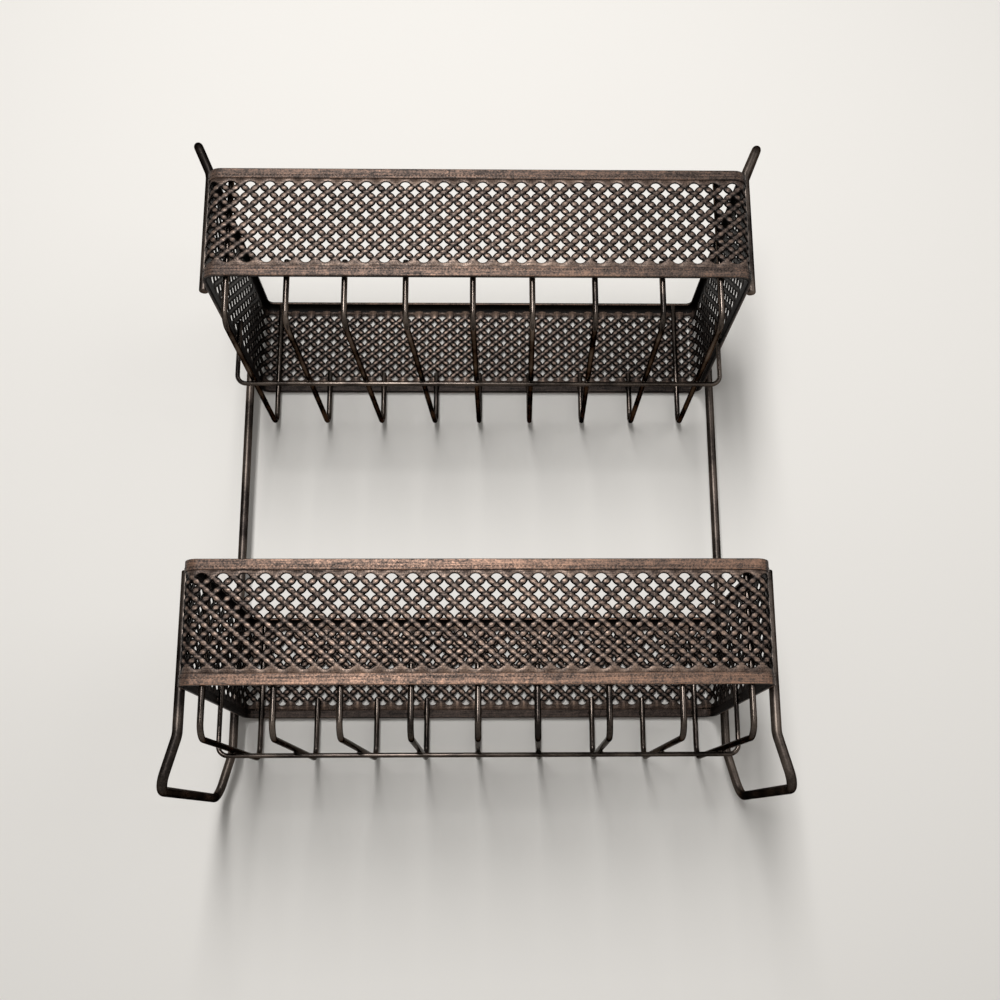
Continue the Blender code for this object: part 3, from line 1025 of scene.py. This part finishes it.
# how flat a weld's bead is, and where it lies: up the bottom rim's band, and from the middle of its wire
BEAD_FLATNESS = 0.6
BAND_SHARE = 0.55
BESIDE_ROD, UNDER_ROD, BESIDE_POST = 0.75, 0.5, 0.6


def bead(bm, place, half_sizes):
    """A weld's bead: a small ball pressed flat between two wires."""
    matrix = Matrix.Translation(place) @ Matrix.Diagonal((*half_sizes, 1))
    bmesh.ops.create_icosphere(bm, subdivisions=2, radius=1, matrix=matrix)


class CADDY_OT_welds(Operator):
    """Put a bead where each wire is welded to another or to a rim"""

    bl_idname = "caddy.welds"
    bl_label = "Welds"

    def execute(self, context):
        sizes = context.scene.caddy_sizes
        material = wire_bronze("thin")
        upright = (sizes.weld * BEAD_FLATNESS, sizes.weld * BEAD_FLATNESS, sizes.weld)
        lying = (sizes.weld * BEAD_FLATNESS, sizes.weld, sizes.weld * BEAD_FLATNESS)
        rod, post, cross = sizes.rod_wire / 2, sizes.frame_wire / 2, sizes.cross_wire / 2
        for tier in TIERS:
            bm = bmesh.new()
            low, high = wall_box(tier)
            middle = (low.y + high.y) / 2
            band_z = low.z + sizes.band * BAND_SHARE
            under_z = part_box(f"{tier}_cross_wire")[0].z + sizes.cross_wire
            for number in range(1, ROD_COUNT + 1):
                _, front, back, _ = rod_corners(f"{tier}_rod_{number}", rod, 0)
                for end, way in ((front, -1), (back, 1)):
                    for side in (-1, 1):
                        bead(bm, (end.x + side * rod * BESIDE_ROD, end.y + way * rod, band_z), upright)
                for side in (-1, 1):
                    bead(bm, ((front.x + back.x) / 2 + side * rod * UNDER_ROD, middle, under_z), lying)
            for name, face, side in (("left", low.x, -1), ("right", high.x, 1)):
                inner = face - side * sizes.rim_thickness
                for turn in (-1, 1):
                    bead(bm, (inner, middle + turn * cross, band_z), upright)
                post_low, post_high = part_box(f"side_frame_{name}")
                for post_y in (post_low.y + post, post_high.y - post):
                    for height in (low.z + sizes.rim / 2, high.z - sizes.rim / 2):
                        for turn in (-1, 1):
                            bead(bm, (face, post_y + turn * post * BESIDE_POST, height), upright)
            bmesh.ops.recalc_face_normals(bm, faces=bm.faces)
            finish_piece(f"{tier}_welds", bm, material)
        return {"FINISHED"}


STAGE_SIZE = 12.0
STAGE_GAP = 0.3 * MM
SURROUND_STRENGTH = 0.24
# each lamp's place, width and height in metres, and its power in watts
LAMPS = {
    # the key is tall and narrow, so that upright wires at both tiers mirror it as a streak
    "key light": ((-0.18, -1.35, 0.68), 0.26, 1.15, 20.0),
    "fill light": ((0.9, -0.9, 0.5), 0.9, 0.9, 2.5),
}
# the camera's lens and sensor in millimetres, its shift, its place, and its turns in radians
LENS, SENSOR = 36.877, 36.0
SHIFT_X, SHIFT_Y = -0.0058, 0.1215
CAMERA_PLACE = (6.41 * MM, -635.63 * MM, -21.10 * MM)
YAW, PITCH, ROLL = -0.0162, 0.2041, 0.0050


def see_through_from_behind(tree, shader):
    """A stage surface shows only from its front, and sends no light on from there."""
    clear = add_node(tree, "ShaderNodeBsdfTransparent")
    behind = add_node(tree, "ShaderNodeNewGeometry").outputs["Backfacing"]
    bounced = add_node(tree, "ShaderNodeLightPath").outputs["Is Diffuse Ray"]
    unseen = add_node(tree, "ShaderNodeMath", {0: behind, 1: bounced}, operation="MAXIMUM")
    mix = add_node(tree, "ShaderNodeMixShader", {0: unseen.outputs[0], 1: shader, 2: clear.outputs[0]})
    add_node(tree, "ShaderNodeOutputMaterial", {"Surface": mix.outputs[0]})


def stage_plane(name, matrix, material):
    """The floor or the backdrop."""
    bm = bmesh.new()
    bmesh.ops.create_grid(bm, x_segments=1, y_segments=1, size=STAGE_SIZE / 2, matrix=matrix)
    mesh = mesh_of(bm, name)
    mesh.materials.append(material)
    plane = bpy.data.objects.new(name, mesh)
    bpy.context.scene.collection.objects.link(plane)
    plane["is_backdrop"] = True


def matt_board():
    """Pale matt board, as in a photographer's studio: it scatters light and hardly shines."""
    material, tree = new_material("pale_matt_board")
    if tree is None:
        return material
    shader = add_node(tree, "ShaderNodeBsdfPrincipled", {
        "Base Color": (*bpy.context.scene.caddy_colours.floor, 1),
        "Roughness": 0.9,
        "Specular IOR Level": 0.1,
    })
    see_through_from_behind(tree, shader.outputs[0])
    return material


def add_area_light(name, place, target, width, height, power):
    """A soft rectangular lamp that faces its target."""
    light = bpy.data.lights.new(name, "AREA")
    light.shape = "RECTANGLE"
    light.size = width
    light.size_y = height
    light.energy = power
    lamp = bpy.data.objects.new(name, light)
    lamp.location = place
    lamp.rotation_euler = (Vector(target) - Vector(place)).to_track_quat("-Z", "Y").to_euler()
    bpy.context.scene.collection.objects.link(lamp)


class CADDY_OT_stage(Operator):
    """Set the pale floor and backdrop, the soft light and the camera"""

    bl_idname = "caddy.stage"
    bl_label = "Stage"

    def execute(self, context):
        low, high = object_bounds()
        board = matt_board()
        stage_plane("floor", Matrix.Translation((0, 0, low[2] - STAGE_GAP)), board)
        upright = Matrix.Rotation(math.pi / 2, 4, "X")
        stage_plane("backdrop", Matrix.Translation((0, high[1] + STAGE_GAP, 0)) @ upright, board)

        world = bpy.data.worlds.new("pale surround")
        world.use_nodes = True
        tree = world.node_tree
        tree.nodes.clear()
        sky_colour = (*context.scene.caddy_colours.sky, 1)
        sky = add_node(tree, "ShaderNodeBackground", {"Color": sky_colour, "Strength": SURROUND_STRENGTH})
        add_node(tree, "ShaderNodeOutputWorld", {"Surface": sky.outputs[0]})
        context.scene.world = world

        middle = (0, 0, (low[2] + high[2]) / 2)
        for name, (place, width, height, power) in LAMPS.items():
            add_area_light(name, place, middle, width, height, power)

        data = bpy.data.cameras.new("camera")
        data.lens, data.sensor_width = LENS, SENSOR
        data.shift_x, data.shift_y = SHIFT_X, SHIFT_Y
        camera = bpy.data.objects.new("camera", data)
        turn = Matrix.Rotation(YAW, 4, "Z") @ Matrix.Rotation(PITCH, 4, "X") @ Matrix.Rotation(ROLL, 4, "Y")
        camera.matrix_world = Matrix.Translation(CAMERA_PLACE) @ turn @ upright
        bpy.context.scene.collection.objects.link(camera)
        context.scene.camera = camera
        context.scene.view_settings.view_transform = "Standard"
        return {"FINISHED"}


class CADDY_PT_panel(Panel):
    """The caddy's sizes, colours and building steps"""

    bl_idname = "CADDY_PT_panel"
    bl_label = "Bath caddy"
    bl_space_type = "VIEW_3D"
    bl_region_type = "UI"
    bl_category = "Bath caddy"

    def draw(self, context):
        for settings in (context.scene.caddy_sizes, context.scene.caddy_colours):
            box = self.layout.box()
            for name in settings.__annotations__:
                box.prop(settings, name)
        for operator in OPERATORS:
            self.layout.operator(operator.bl_idname)


OPERATORS = (
    CADDY_OT_lattice_strips,
    CADDY_OT_rims,
    CADDY_OT_rods,
    CADDY_OT_cross_wires,
    CADDY_OT_side_frames,
    CADDY_OT_welds,
    CADDY_OT_stage,
)
CLASSES = (CaddySizes, CaddyColours, *OPERATORS, CADDY_PT_panel)


def register():
    for item in CLASSES:
        bpy.utils.register_class(item)
    bpy.types.Scene.caddy_sizes = PointerProperty(type=CaddySizes)
    bpy.types.Scene.caddy_colours = PointerProperty(type=CaddyColours)


def unregister():
    del bpy.types.Scene.caddy_colours
    del bpy.types.Scene.caddy_sizes
    for item in reversed(CLASSES):
        bpy.utils.unregister_class(item)


def main():
    register()
    bpy.ops.caddy.lattice_strips()
    bpy.ops.caddy.rims()
    bpy.ops.caddy.rods()
    bpy.ops.caddy.cross_wires()
    bpy.ops.caddy.side_frames()
    bpy.ops.caddy.welds()
    bpy.ops.caddy.stage()


if __name__ == "__main__":
    main()
